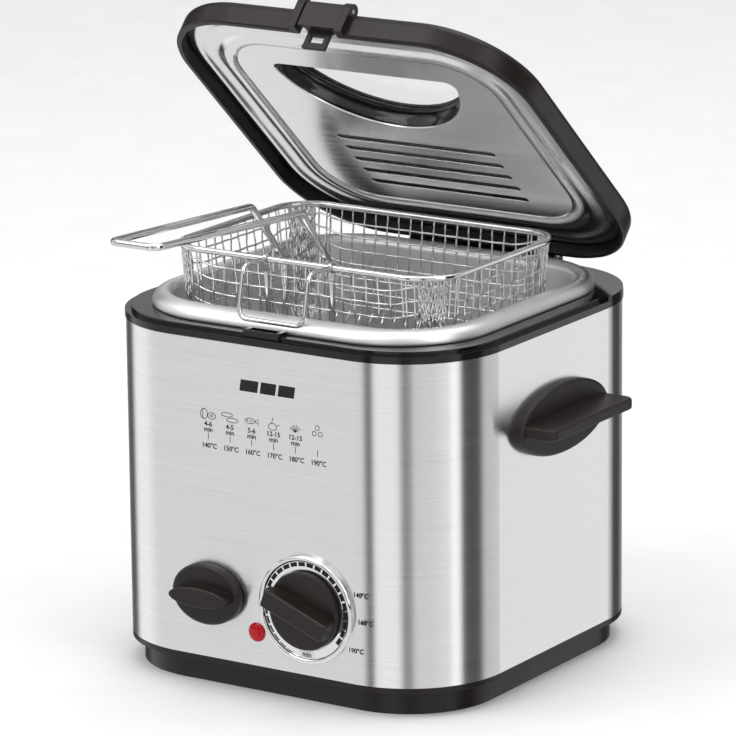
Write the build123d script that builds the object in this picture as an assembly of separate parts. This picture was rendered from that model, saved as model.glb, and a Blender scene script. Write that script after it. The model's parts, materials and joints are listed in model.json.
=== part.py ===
"""Small household deep fryer with its lid open and its frying basket raised on the drain hook.

Millimetres, +Z up, front of the fryer towards -Y, origin on the floor under the middle of the housing.
Lid pieces are drawn closed and then swung open about the lid hinge.
"""
from build123d import *
import os

# ---------------------------------------------------------------- driving dimensions
body_w, body_d, body_r = 210.0, 208.0, 52.0
base_top = 15.0
shell_top = 179.5
sheet = 0.8
inset = 6.0
deck_top = 183.5
lip_top = 181.5
front_y = -body_d / 2

pot_y = -1.0
pot_top = 190.6
pot_mouth = (167.0, 159.4, 32.4)
pot_floor_outline = (158.0, 150.4, 28.0)
pot_floor = 83.0
pot_wall = 1.5
flange_outline = (188.3, 188.1, 50.0)

hinge_y, hinge_z = 105.4, 188.0
lid_open_angle = 42.33
lid_outline = (206.0, 202.6, 48.2)
lid_y = -0.4
lid_edge = 184.0
lid_rim_top = 197.5
lid_crown = 204.0
lid_wall = 3.0
pan_face = 190.4

window_half_w, window_depth, window_chord_y = 54.0, 50.0, -55.0
slot_count, slot_pitch, slot_len, slot_h, slot_first_y = 5, 10.8, 94.6, 4.0, 12.6

basket_w, basket_d, basket_r = 160.0, 118.0, 20.0
basket_y = -9.0
rim_z = 212.5
rim_wire = 1.6
basket_floor = 152.5
basket_lean = 5.0
mesh_sheet = 0.9
mesh_pitch = 14.0
mesh_hole = 12.4
hook_x = 19.2
hook_wire = 1.25
handle_wire = 1.75

dial_x, dial_z = 26.5, 49.0
switch_x, switch_z = -31.5, 48.5
lamp_x, lamp_z = -3.8, 32.4

grip_y, grip_z = 3.0, 133.2

parts = {}


# ---------------------------------------------------------------- helpers
def slab(outline, bottom, top, y=0.0):
    """Rounded rectangle (width, depth, corner radius) with vertical walls."""
    return extrude(Pos(0, y, bottom) * RectangleRounded(*outline), top - bottom)


def tapered(low, bottom, high, top, y=0.0):
    """Rounded rectangle that changes outline between two heights."""
    return loft([Pos(0, y, bottom) * RectangleRounded(*low), Pos(0, y, top) * RectangleRounded(*high)])


def grown(outline, by):
    """The same rounded rectangle moved outwards by a distance (inwards when negative)."""
    width, depth, radius = outline
    return (width + 2 * by, depth + 2 * by, radius + by)


def block(x, y, z):
    """Box from three (low, high) pairs."""
    return Pos(sum(x) / 2, sum(y) / 2, sum(z) / 2) * Box(x[1] - x[0], y[1] - y[0], z[1] - z[0])


def rod_x(radius, x, y, z):
    """Cylinder along X between x[0] and x[1]."""
    return Pos(sum(x) / 2, y, z) * Rot(0, 90, 0) * Cylinder(radius, x[1] - x[0])


def rod_y(radius, x, y, z):
    """Cylinder along Y between y[0] and y[1]."""
    return Pos(x, sum(y) / 2, z) * Rot(90, 0, 0) * Cylinder(radius, y[1] - y[0])


def rod_z(radius, x, y, z):
    """Cylinder along Z between z[0] and z[1]."""
    return Pos(x, y, sum(z) / 2) * Cylinder(radius, z[1] - z[0])


def wire(points, bend, radius):
    """Round wire that follows straight runs joined by equal bends."""
    path = FilletPolyline(*points, radius=bend)
    return sweep(Plane(path @ 0, z_dir=path % 0) * Circle(radius), path)


def open_lid(shape):
    """Swing a closed-lid piece up to the open position, front edge upwards."""
    return shape.rotate(Axis((0, hinge_y, hinge_z), (1, 0, 0)), -lid_open_angle)


def half_moon(grow=0.0):
    """Window outline: a shallow circle cut by a straight chord towards the front, corners rounded."""
    radius = (window_half_w**2 + window_depth**2) / (2 * window_depth)
    disc = Pos(0, window_depth - radius) * Circle(radius + grow)
    band = Pos(0, window_depth / 2) * Rectangle(4 * window_half_w, window_depth + 2 * grow)
    face = disc & band
    corners = face.vertices().sort_by(Axis.Y)[:2]
    return Pos(0, window_chord_y) * fillet(corners, 5.0 + grow)


def half_moon_prism(grow, bottom, top):
    """The window outline as a straight column."""
    return extrude(Pos(0, 0, bottom) * half_moon(grow), top - bottom)


def slot_rows(length, height, z):
    """Row of parallel vent slots as cutting blocks over the given heights."""
    cutters = []
    for row in range(slot_count):
        y = slot_first_y + row * slot_pitch
        cutters.append(block((-length / 2, length / 2), (y - height / 2, y + height / 2), z))
    return cutters


# ---------------------------------------------------------------- base
foot_places = [(sx * 70, sy * 68) for sx in (-1, 1) for sy in (-1, 1)]
base_screw_places = [(sx * 91.5, sy * 30) for sx in (-1, 1) for sy in (-1, 1)]
plate_bottom, plate_top = 5.8, 7.0


def base_tray():
    skirt = slab(grown((body_w, body_d, body_r), -inset), 0, base_top - 3)
    skirt -= slab(grown((body_w, body_d, body_r), -inset - 3), -1, base_top)
    flange = slab((body_w, body_d, body_r), base_top - 3, base_top) - slab((176, 174, 40), 0, base_top + 1)
    tray = skirt + flange
    for x, y in base_screw_places:
        tray += rod_z(4, x, y, (plate_top, base_top - 2))
    for x, y in base_screw_places:
        tray -= rod_z(1.6, x, y, (plate_top - 1, base_top - 3.5))
    return tray


def bottom_plate():
    plate = slab(grown((body_w, body_d, body_r), -10), plate_bottom, plate_top)
    for x, y in foot_places:
        plate -= rod_z(3, x, y, (0, base_top))
    for x, y in base_screw_places:
        plate -= rod_z(1.8, x, y, (0, base_top))
    for row in range(7):
        plate -= block((-30, 30), (row * 8 - 26, row * 8 - 22), (0, base_top))
    return plate


def rubber_feet():
    feet = []
    for x, y in foot_places:
        feet.append(rod_z(8, x, y, (0, plate_bottom)) + rod_z(2.9, x, y, (plate_bottom - 1, plate_top + 1.5)))
    return feet


def base_screws():
    screws = []
    for x, y in base_screw_places:
        head = rod_z(3, x, y, (plate_bottom - 2, plate_bottom))
        screws.append(head + rod_z(1.5, x, y, (plate_bottom - 1, base_top - 4)))
    return screws


# ---------------------------------------------------------------- housing
grip_screw_places = [grip_y - 25, grip_y + 25]
gland_x, gland_z = 38.0, 32.0


def shell_wrap():
    shell = slab((body_w, body_d, body_r), base_top, shell_top)
    shell -= slab(grown((body_w, body_d, body_r), -sheet), base_top - 1, shell_top + 1)
    for x, z, radius in ((dial_x, dial_z, 5), (switch_x, switch_z, 5), (lamp_x, lamp_z, 4)):
        shell -= rod_y(radius, x, (front_y - 5, front_y + 5), z)
    shell -= rod_y(6, gland_x, (body_d / 2 - 5, body_d / 2 + 5), gland_z)
    for y in grip_screw_places:
        shell -= rod_x(2.2, (-body_w, body_w), y, grip_z)
    return shell


catch_x = 10.5
catch_slot = ((-8.2, 8.2), (-101.6, -96.6))


def top_frame():
    outline = (body_w, body_d, body_r)
    frame = slab(grown(outline, 0.5), shell_top, lip_top)
    skirt = slab(grown(outline, 0.5), shell_top - 1.5, shell_top + 0.5)
    frame += skirt - slab(grown(outline, 0.05), 170, shell_top)
    frame += slab(grown(outline, -sheet - 0.1), 172, shell_top + 0.5)
    frame += slab(grown(outline, -2.7), lip_top - 0.5, deck_top)
    frame += slab(grown(outline, 0.3), lip_top - 0.5, deck_top) & block((-120, 120), (52, 120), (180, 190))
    frame -= slab(grown(outline, -sheet - 2.2), 171, shell_top - 0.5)
    frame -= slab((174, 172, 43), 170, 190)
    frame -= block(catch_slot[0], catch_slot[1], (160, 190))
    return frame


def front_catch_block():
    catch = block((-catch_x, catch_x), (-102.4, -95.4), (deck_top, deck_top + 1.7))
    catch += block((-catch_x, catch_x), (-102.4, -101.6), (lip_top, deck_top + 1))
    return catch - block(catch_slot[0], catch_slot[1], (160, 190))


def side_handle(side):
    """Oval plate on the side wall with a flat wing for the fingers."""
    wall = body_w / 2
    plate = Pos(wall, grip_y, grip_z) * Rot(0, 90, 0) * Ellipse(17.8, 41.5)
    handle = extrude(plate, 5.0, dir=(1, 0, 0))
    handle = fillet(handle.faces().sort_by(Axis.X)[-1].edges(), 2.0)
    wing = Pos(wall + 3, grip_y, grip_z - 2) * Rectangle(37, 79)
    wing = fillet(wing.vertices().group_by(Axis.X)[-1], 5.0)
    blade = extrude(wing, 6.0)
    blade = fillet(blade.edges().filter_by(Plane.XY), 1.6)
    handle += blade & block((wall + 3, wall + 30), (-80, 80), (100, 160))
    for y in grip_screw_places:
        handle -= rod_x(1.6, (wall - 1, wall + 4.2), y, grip_z)
    return handle if side > 0 else mirror(handle, Plane.YZ)


def side_handle_screws():
    screws = []
    wall = body_w / 2
    for side in (-1, 1):
        for y in grip_screw_places:
            head = rod_x(3.5, (wall - sheet - 2, wall - sheet), y, grip_z)
            screw = head + rod_x(1.6, (wall - sheet - 1, wall + 4), y, grip_z)
            screws.append(screw if side > 0 else mirror(screw, Plane.YZ))
    return screws


def cord_gland():
    wall = body_d / 2
    gland = rod_y(9, gland_x, (wall, wall + 3), gland_z)
    gland += rod_y(5.9, gland_x, (wall - 8, wall + 1), gland_z)
    gland += rod_y(8.5, gland_x, (wall - sheet - 3.5, wall - sheet), gland_z)
    return gland - rod_y(3.6, gland_x, (wall - 20, wall + 20), gland_z)


# ---------------------------------------------------------------- pot and heater
element_z = pot_floor - pot_wall - 3.25
stud_places = [(-40, -1), (40, -1), (0, -42)]


def inner_pot():
    outer_floor = grown(pot_floor_outline, pot_wall)
    pot = tapered(outer_floor, pot_floor - pot_wall, grown(pot_mouth, pot_wall), pot_top, pot_y)
    rim = slab(flange_outline, deck_top, deck_top + 1.3, pot_y)
    rim += tapered(flange_outline, deck_top + 1.3, grown(flange_outline, -6.2), pot_top, pot_y)
    low, high = grown(flange_outline, -1.6), grown(flange_outline, -6.6)
    under = tapered(low, deck_top - 1, high, pot_top - 2.2, pot_y)
    rim -= under - slab(grown(pot_mouth, pot_wall), 180, 200, pot_y)
    pot += rim
    pot -= tapered(pot_floor_outline, pot_floor, pot_mouth, pot_top, pot_y)
    pot -= slab(pot_mouth, pot_top - 0.01, pot_top + 1, pot_y)
    for x, y in stud_places:
        pot += rod_z(2, x, y, (element_z - 8.5, pot_floor - 0.5))
    return pot


def heating_element():
    """Tubular heater bent to one loop under the pot, both cold ends to the rear."""
    x, front, back, end = 50.0, -50.0, 46.0, 72.0
    z = element_z
    points = [(-12, end, z), (-12, back, z), (-x, back, z), (-x, front, z)]
    points += [(x, front, z), (x, back, z), (12, back, z), (12, end, z)]
    return wire(points, 11, 3.2)


def element_clamp_plate():
    z = (element_z - 4.45, element_z - 3.25)
    plate = slab((112, 108, 34), z[0], z[1], -1) - slab((74, 70, 20), z[0] - 1, z[1] + 1, -1)
    plate += block((-44, 44), (-7, 5), z)
    for x, y in stud_places:
        plate -= rod_z(2.3, x, y, (z[0] - 1, z[1] + 1))
    return plate


def clamp_nuts():
    nuts = []
    for x, y in stud_places:
        nut = extrude(Pos(x, y, element_z - 7.65) * RegularPolygon(3.8, 6), 3.2)
        nuts.append(nut - rod_z(2.02, x, y, (60, 80)))
    return nuts


def thermal_cutout():
    underside = pot_floor - pot_wall
    body = rod_z(8, 0, 24, (underside - 7, underside))
    for x in (-3, 3):
        body += block((x - 0.4, x + 0.4), (22.5, 25.5), (underside - 13, underside - 6))
    return body


def thermostat_bulb():
    """Sensing bulb under the pot with its capillary tube down to the thermostat."""
    z = pot_floor - pot_wall - 2.6
    bulb = rod_x(2.5, (-30, 26), -20, z)
    points = [(25, -20, z), (32, -20, z), (32, -20, 62), (32, -70, 56), (32, -77, 56)]
    return bulb + wire(points, 3, 0.8)


# ---------------------------------------------------------------- controls
shaft_r = 3.0
bracket_y = (front_y + 2.1, front_y + 3.5)


def control_bracket():
    plate = block((-50, 47), bracket_y, (base_top, 66))
    plate += block((-50, 47), (bracket_y[0], bracket_y[0] + 12), (base_top, base_top + 1.4))
    for x, z in ((dial_x, dial_z), (switch_x, switch_z), (lamp_x, lamp_z)):
        plate -= rod_y(5.1, x, (bracket_y[0] - 1, bracket_y[1] + 1), z)
    return plate


def thermostat_body():
    body = rod_y(17, dial_x, (bracket_y[1], bracket_y[1] + 23), dial_z)
    body += rod_y(4.9, dial_x, (front_y + 0.9, bracket_y[1] + 1), dial_z)
    for x in (-8, 8):
        body += block((dial_x + x - 3, dial_x + x + 3), (-78, -71), (dial_z - 12.5, dial_z - 11.7))
    return body - rod_y(shaft_r + 0.05, dial_x, (front_y - 2, bracket_y[1] + 20), dial_z)


def switch_body():
    x_range, z_range = (switch_x - 13, switch_x + 13), (switch_z - 12, switch_z + 12)
    body = block(x_range, (bracket_y[1], bracket_y[1] + 20), z_range)
    body += rod_y(4.9, switch_x, (front_y + 0.9, bracket_y[1] + 1), switch_z)
    for x in (switch_x - 8, switch_x, switch_x + 8):
        body += block((x - 2.4, x + 2.4), (-81, -72), (switch_z - 0.4, switch_z + 0.4))
    return body - rod_y(shaft_r + 0.05, switch_x, (front_y - 2, bracket_y[1] + 16), switch_z)


def control_shaft(x, z, inner_end):
    return rod_y(shaft_r, x, (front_y - 6, inner_end), z)


def dial_ring():
    """Flat scale ring with a raised round bead at its outer edge."""
    face = Circle(27.4) - Circle(20.6)
    ring = extrude(Plane.XZ * face, 1.8)
    bead = Pos(0, -1.8, 0) * Rot(90, 0, 0) * Torus(26.0, 1.4)
    return Pos(dial_x, front_y, dial_z) * (ring + bead)


pointer_tilt = 21.0


def thermostat_knob():
    """Low round disc with a straight finger wing that ends in a pointer."""
    disc = extrude(Plane.XZ * Circle(19.8), 4.2)
    disc = fillet(disc.faces().sort_by(Axis.Y)[0].edges(), 1.0)
    grip = Plane.XZ * Rectangle(38, 9.5)
    wing = fillet(extrude(grip, 13).edges().filter_by(Axis.Y), 1.2)
    wing = chamfer(wing.faces().sort_by(Axis.Y)[0].edges(), 0.8)
    nose = Pos(0, -2.6, 0) * extrude(Plane.XZ * (Pos(-19, 0) * Rectangle(4.5, 5)), 4.5)
    knob = (disc + wing + nose).rotate(Axis.Y, pointer_tilt)
    knob = Pos(dial_x, front_y - 1.1, dial_z) * knob
    return knob - rod_y(shaft_r, dial_x, (front_y - 6, front_y + 1), dial_z)


def switch_knob():
    """Oval cap with a level finger wing."""
    cap = extrude(Plane.XZ * Ellipse(20.0, 15.6), 5.0)
    cap = fillet(cap.faces().sort_by(Axis.Y)[0].edges(), 2.2)
    wing = extrude(Plane.XZ * Ellipse(17.0, 5.0), 12.0)
    wing = fillet(wing.faces().sort_by(Axis.Y)[0].edges(), 0.9)
    knob = Pos(switch_x, front_y - 0.6, switch_z) * (cap + wing)
    return knob - rod_y(shaft_r, switch_x, (front_y - 6, front_y + 1), switch_z)


def indicator_lens():
    lens = rod_y(4.9, lamp_x, (front_y - 1.4, front_y), lamp_z)
    lens = fillet(lens.faces().sort_by(Axis.Y)[0].edges(), 1.3)
    return lens + rod_y(3.9, lamp_x, (front_y - 0.5, front_y + 4), lamp_z)


def lamp_holder():
    holder = rod_y(5.0, lamp_x, (front_y + 1, front_y + 20), lamp_z)
    return holder - rod_y(3.95, lamp_x, (front_y, front_y + 12), lamp_z)


def terminal_block():
    body = block((-20, 20), (58, 76), (plate_top, plate_top + 14))
    for x in range(-15, 20, 10):
        body -= rod_z(2.2, x, 67, (plate_top + 9, plate_top + 15))
    return body


# ---------------------------------------------------------------- lid hinge
ear_r = 4.2
ear_x = (31.0, 44.0)
knuckle_x = (-16.5, 29.5)
pin_r = 2.0


def hinge_bracket():
    back = block((-44, 44), (104.6, 109.6), (168, 183.4))
    for side in (-1, 1):
        x = tuple(sorted((side * ear_x[0], side * ear_x[1])))
        back += rod_x(ear_r, x, hinge_y, hinge_z)
        back += block(x, (hinge_y - ear_r, hinge_y + ear_r), (deck_top, hinge_z))
        back += block(x, (104.6, 109.6), (180, hinge_z - 1))
    return back - rod_x(pin_r, (-50, 50), hinge_y, hinge_z)


def hinge_pin():
    return rod_x(pin_r, (-43.8, 43.8), hinge_y, hinge_z)


def hinge_spring():
    """Lid-opening torsion spring, wound round the pin beside the knuckle."""
    coil = Helix(pitch=1.25, height=10.0, radius=2.9)
    turns = sweep(Plane(coil @ 0, z_dir=coil % 0) * Circle(0.45), coil, is_frenet=True)
    return Pos(-29.2, hinge_y, hinge_z) * Rot(0, 90, 0) * turns


# ---------------------------------------------------------------- lid
latch_pin_y, latch_pin_z, latch_pin_r = -101.4, 198.0, 1.2
rib_x = (11.3, 15.7)
arm_z = (185.8, 187.8)


def lid_frame():
    """Black rim of the lid with the hinge knuckle behind and two latch ribs in front."""
    rim = slab(lid_outline, lid_edge, lid_rim_top, lid_y)
    rim = fillet(rim.faces().sort_by(Axis.Z)[-1].edges(), 4.0)
    rim = fillet(rim.faces().sort_by(Axis.Z)[0].edges(), 1.2)
    rim -= slab(grown(lid_outline, -lid_wall), lid_edge - 1, lid_rim_top - 2.5, lid_y)
    rim -= slab(grown(lid_outline, -14), lid_edge, lid_rim_top + 1, lid_y)
    ledge = slab(grown(lid_outline, -lid_wall + 0.2), 192.2, 194.2, lid_y)
    rim += ledge - slab(grown(lid_outline, -9), 190, 196, lid_y)
    rim -= block((-11.1, 11.1), (-110, -97.4), (193.4, 210))
    rim -= block((-11.1, 11.1), (-110, -98), (lid_edge - 1, 188.2))
    for side in (-1, 1):
        x = tuple(sorted((side * rib_x[0], side * rib_x[1])))
        rim += block(x, (-105.2, -98.6), (lid_edge, latch_pin_z))
        rim += rod_x(3.8, x, latch_pin_y, latch_pin_z)
    rim -= rod_x(latch_pin_r, (-20, 20), latch_pin_y, latch_pin_z)
    rim += rod_x(ear_r, knuckle_x, hinge_y, hinge_z)
    rim += block(knuckle_x, (lid_y + lid_outline[1] / 2 - 1, hinge_y), (185.2, 191.8))
    return rim - rod_x(pin_r + 0.05, (-40, 40), hinge_y, hinge_z)


def lid_outer_panel():
    seat = grown(lid_outline, -14.1)
    crown = grown(lid_outline, -28)
    panel = tapered(seat, lid_rim_top - 2.4, crown, lid_crown, lid_y)
    hollow = tapered(grown(seat, -1.2), lid_rim_top - 3, grown(crown, -1.2), lid_crown - sheet, lid_y)
    panel -= hollow
    panel -= half_moon_prism(2.7, 180, 220)
    for cutter in slot_rows(80, 3, (190, 220)):
        panel -= cutter
    return panel


def lid_inner_panel():
    brim = grown(lid_outline, -lid_wall - 0.2)
    dish = (152.0, 144.0, 28.0)
    pan = slab(brim, pan_face + 1, pan_face + 1.8, lid_y) - slab(grown(dish, -0.8), 180, 200, lid_y)
    pan += slab(dish, pan_face, pan_face + 1.8, lid_y) - slab(grown(dish, -0.8), pan_face + 0.8, 200, lid_y)
    pan -= half_moon_prism(2.7, 180, 200)
    for cutter in slot_rows(slot_len, slot_h, (180, 200)):
        pan -= cutter
    return pan


def window_gasket():
    gasket = half_moon_prism(2.6, pan_face - 0.8, lid_crown + 1.0) - half_moon_prism(0, 180, 220)
    return gasket - half_moon_prism(1.3, 201.4, 203.4)


def window_glass():
    return half_moon_prism(1.2, 201.4, 203.4)


vent_mid_y = slot_first_y + slot_pitch * (slot_count - 1) / 2


def vent_filter():
    sheet_block = block((-52, 52), (vent_mid_y - 26, vent_mid_y + 26), (pan_face + 0.8, pan_face + 2.6))
    cutters = []
    for column in range(-7, 8):
        x = column * 6.6
        groove_y = (vent_mid_y - 24, vent_mid_y + 24)
        cutters.append(block((x - 2.4, x + 2.4), groove_y, (pan_face + 1.8, pan_face + 3)))
    for cutter in cutters:
        sheet_block -= cutter
    return sheet_block


def filter_housing():
    y = (vent_mid_y - 28.5, vent_mid_y + 28.5)
    outer = block((-54.5, 54.5), y, (pan_face + 0.8, 200))
    inner = block((-52.5, 52.5), (y[0] + 2, y[1] - 2), (pan_face, 201))
    return outer - inner


def latch_lever():
    """Lid latch: barrel on the pin, front plate, arm under the rim and the hooking tongue."""
    lever = rod_x(3.0, (-10.9, 10.9), latch_pin_y, latch_pin_z)
    lever += block((-10.9, 10.9), (-104.4, -102.1), (arm_z[0], latch_pin_z))
    lever += block((-7.5, 7.5), (-104.4, -97.4), arm_z)
    lever += block((-6.6, 6.6), (-99.2, -97.4), (176.4, arm_z[1] - 1))
    lever -= block((-3.9, 3.9), (-100, -96), (179.6, 183.6))
    lever += block((-6.6, 6.6), (-99.6, -97.4), (176.4, 178.0))
    return lever - rod_x(latch_pin_r + 0.05, (-20, 20), latch_pin_y, latch_pin_z)


def latch_pin():
    return rod_x(latch_pin_r, (-15.5, 15.5), latch_pin_y, latch_pin_z)


# ---------------------------------------------------------------- basket
def wall_inset(z):
    """How far the leaning basket wall stands in from the rim at a height."""
    return basket_lean * (rim_z - z) / (rim_z - basket_floor)


def basket_outline(z, grow=0.0):
    by = -wall_inset(z) + grow
    return grown((basket_w, basket_d, basket_r), by)


def basket_skin():
    low, high = basket_floor, rim_z - rim_wire + 0.2
    inner_low, inner_high = basket_outline(low, -mesh_sheet), basket_outline(high, -mesh_sheet)
    skin = tapered(basket_outline(low), low, basket_outline(high), high, basket_y)
    return skin - tapered(inner_low, low - 0.01, inner_high, high + 0.01, basket_y)


flat_x = basket_w / 2 - basket_r - 2.0
flat_y = basket_d / 2 - basket_r - 2.0


def grid(count):
    """Centres of a row of equal openings, the row centred on zero."""
    return [(place - (count - 1) / 2) * mesh_pitch for place in range(count)]


mesh_rows = [basket_floor + 9.2 + row * mesh_pitch for row in range(4)]


def basket_long_wall(side):
    """Front (-1) or rear (+1) wall as a lattice of square openings."""
    y = basket_y + side * basket_d / 2
    wall = basket_skin() & block((-flat_x, flat_x), (y - 12, y + 12), (100, 250))
    for x in grid(8):
        for z in mesh_rows:
            wall -= Pos(x, y, z) * Box(mesh_hole, 40, mesh_hole)
    if side < 0:
        for x in (-hook_x, hook_x):
            wall -= block((x - 1.9, x + 1.9), (y - 10, y + 10), (208.8, 230))
    return wall


def basket_short_wall(side):
    """Left (-1) or right (+1) wall as a lattice of square openings."""
    x = side * basket_w / 2
    wall = basket_skin() & block((x - 12, x + 12), (basket_y - flat_y, basket_y + flat_y), (100, 250))
    for y in grid(5):
        for z in mesh_rows:
            wall -= Pos(x, basket_y + y, z) * Box(40, mesh_hole, mesh_hole)
    return wall


def basket_corner_pleats():
    """Mesh folded tight round the four corners."""
    skin = basket_skin()
    corners = []
    for sx in (-1, 1):
        for sy in (-1, 1):
            x = tuple(sorted((sx * (flat_x + 0.5), sx * 100)))
            y = tuple(sorted((basket_y + sy * (flat_y + 0.5), basket_y + sy * 80)))
            corners.append(skin & block(x, y, (100, 250)))
    return corners


def basket_floor_mesh():
    outline = basket_outline(basket_floor, -mesh_sheet - 0.1)
    floor = slab(outline, basket_floor, basket_floor + mesh_sheet, basket_y)
    for x in grid(9):
        for y in grid(6):
            floor -= Pos(x, basket_y + y, basket_floor) * Box(mesh_hole, mesh_hole, 10)
    return floor


def basket_rim():
    """Round wire that carries the mesh."""
    outline = Pos(0, basket_y, rim_z) * RectangleRounded(basket_w, basket_d, basket_r)
    path = outline.wire()
    return sweep(Plane(path @ 0, z_dir=path % 0) * Circle(rim_wire), path)


front_rim_y = basket_y - basket_d / 2


def hook_brackets():
    """Two short wires along the outside of the front wall, under the hook's eyes."""
    wires = []
    for x in (-hook_x, hook_x):
        top = (x, front_rim_y + wall_inset(206) - hook_wire, 206)
        foot = (x, front_rim_y + wall_inset(184) - hook_wire, 184)
        run = Line(foot, top)
        wires.append(sweep(Plane(run @ 0, z_dir=run % 0) * Circle(hook_wire), run))
    return wires


leg_x = 13.8
leg_y = -60.0
eyelet_wire = 0.75


def handle_eyelets():
    """Two small upright loops beside the handle's legs."""
    loops = []
    for x in (-leg_x - 3.1, leg_x - 2.9):
        near = front_rim_y + rim_wire + eyelet_wire
        far = near + 5.0
        points = [(x, near, 206), (x, near, 219), (x, far, 219), (x, far, 206)]
        loops.append(wire(points, 2.4, eyelet_wire))
    return loops


def drain_hook():
    """Wire bail that swings on the front rim wire and rests on the pot's flange."""
    y0, y1, y2 = front_rim_y - 2.2, front_rim_y - 20, front_rim_y - 25.5
    top, foot = rim_z + 0.3, rim_z - 24.5
    half = [(hook_x, y0, top), (hook_x, y1, top + 0.6), (hook_x, y2, foot)]
    points = half + [(-x, y, z) for x, y, z in reversed(half)]
    hook = wire(points, 5, hook_wire)
    for x in (-hook_x, hook_x):
        hook += rod_x(2.7, (x - 0.8, x + 0.8), front_rim_y, rim_z)
    for x in (-hook_x, hook_x):
        hook -= rod_x(rim_wire + 0.08, (x - 2, x + 2), front_rim_y, rim_z)
    return hook


handle_end_y, handle_end_z = -206.5, 249.3


def basket_handle():
    """Sprung wire handle: outward feet, upright legs inside the wall, long arms to the front."""
    foot_z = 168.5
    half = [(-leg_x - 12, leg_y, foot_z), (-leg_x, leg_y, foot_z), (-leg_x, leg_y, rim_z - 2)]
    half += [(-leg_x - 1, -87, 243), (-leg_x + 0.8, handle_end_y, handle_end_z)]
    points = half + [(-x, y, z) for x, y, z in reversed(half)]
    return wire(points, 5, handle_wire)


# ---------------------------------------------------------------- assembly
def keep(name, shape):
    """Record a piece, or a group of separate solids, under its node name."""
    if isinstance(shape, list):
        shape = Compound(children=shape)
    parts[name] = shape


keep("base_tray", base_tray())
keep("bottom_plate", bottom_plate())
keep("rubber_feet", rubber_feet())
keep("base_screws", base_screws())
keep("shell_wrap", shell_wrap())
keep("top_frame", top_frame())
keep("front_catch_block", front_catch_block())
keep("side_handle_right", side_handle(1))
keep("side_handle_left", side_handle(-1))
keep("side_handle_screws", side_handle_screws())
keep("cord_gland", cord_gland())
keep("inner_pot", inner_pot())
keep("heating_element", heating_element())
keep("element_clamp_plate", element_clamp_plate())
keep("clamp_nuts", clamp_nuts())
keep("thermal_cutout", thermal_cutout())
keep("thermostat_bulb", thermostat_bulb())
keep("control_bracket", control_bracket())
keep("thermostat_body", thermostat_body())
keep("switch_body", switch_body())
keep("thermostat_shaft", control_shaft(dial_x, dial_z, front_y + 21))
keep("switch_shaft", control_shaft(switch_x, switch_z, front_y + 17))
keep("dial_ring", dial_ring())
keep("thermostat_knob", thermostat_knob())
keep("switch_knob", switch_knob())
keep("indicator_lens", indicator_lens())
keep("lamp_holder", lamp_holder())
keep("terminal_block", terminal_block())
keep("hinge_bracket", hinge_bracket())
keep("hinge_pin", hinge_pin())
keep("hinge_spring", hinge_spring())
keep("lid_frame", open_lid(lid_frame()))
keep("lid_outer_panel", open_lid(lid_outer_panel()))
keep("lid_inner_panel", open_lid(lid_inner_panel()))
keep("window_gasket", open_lid(window_gasket()))
keep("window_glass", open_lid(window_glass()))
keep("vent_filter", open_lid(vent_filter()))
keep("filter_housing", open_lid(filter_housing()))
keep("latch_lever", open_lid(latch_lever()))
keep("latch_pin", open_lid(latch_pin()))
keep("basket_front_mesh", basket_long_wall(-1))
keep("basket_rear_mesh", basket_long_wall(1))
keep("basket_left_mesh", basket_short_wall(-1))
keep("basket_right_mesh", basket_short_wall(1))
keep("basket_corner_pleats", basket_corner_pleats())
keep("basket_floor_mesh", basket_floor_mesh())
keep("basket_rim", basket_rim())
keep("hook_brackets", hook_brackets())
keep("handle_eyelets", handle_eyelets())
keep("drain_hook", drain_hook())
keep("basket_handle", basket_handle())

os.makedirs("parts", exist_ok=True)
for name, shape in parts.items():
    export_step(shape, f"parts/{name}.step")
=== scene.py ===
"""Looks of the small deep fryer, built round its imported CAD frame. Lengths in metres, mm() converts."""
import json
import math
import random

import bmesh
import bpy
from mathutils import Matrix, Vector


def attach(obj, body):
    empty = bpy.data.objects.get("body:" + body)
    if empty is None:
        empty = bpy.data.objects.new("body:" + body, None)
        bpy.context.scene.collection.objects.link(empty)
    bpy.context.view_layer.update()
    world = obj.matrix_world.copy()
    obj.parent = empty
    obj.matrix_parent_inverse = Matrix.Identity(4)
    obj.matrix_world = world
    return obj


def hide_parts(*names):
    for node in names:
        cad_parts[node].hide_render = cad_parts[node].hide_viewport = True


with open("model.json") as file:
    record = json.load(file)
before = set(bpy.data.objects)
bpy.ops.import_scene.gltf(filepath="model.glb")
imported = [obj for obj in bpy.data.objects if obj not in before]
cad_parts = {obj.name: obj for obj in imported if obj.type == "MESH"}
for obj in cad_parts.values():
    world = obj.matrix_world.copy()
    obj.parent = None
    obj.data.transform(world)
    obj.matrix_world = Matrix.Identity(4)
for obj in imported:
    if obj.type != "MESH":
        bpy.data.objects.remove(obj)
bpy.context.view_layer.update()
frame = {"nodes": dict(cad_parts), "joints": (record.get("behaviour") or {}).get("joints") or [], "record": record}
nodes = frame["nodes"]
random.seed(7)


def mm(value):
    return value * 0.001


# ---------------------------------------------------------------- materials
def shader(name, **settings):
    """New node material; settings are Principled sockets with _ for a space."""
    made = bpy.data.materials.new(name)
    made.use_nodes = True
    principled = made.node_tree.nodes["Principled BSDF"]
    for key, value in settings.items():
        principled.inputs[key.replace("_", " ")].default_value = value
    return made


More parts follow.
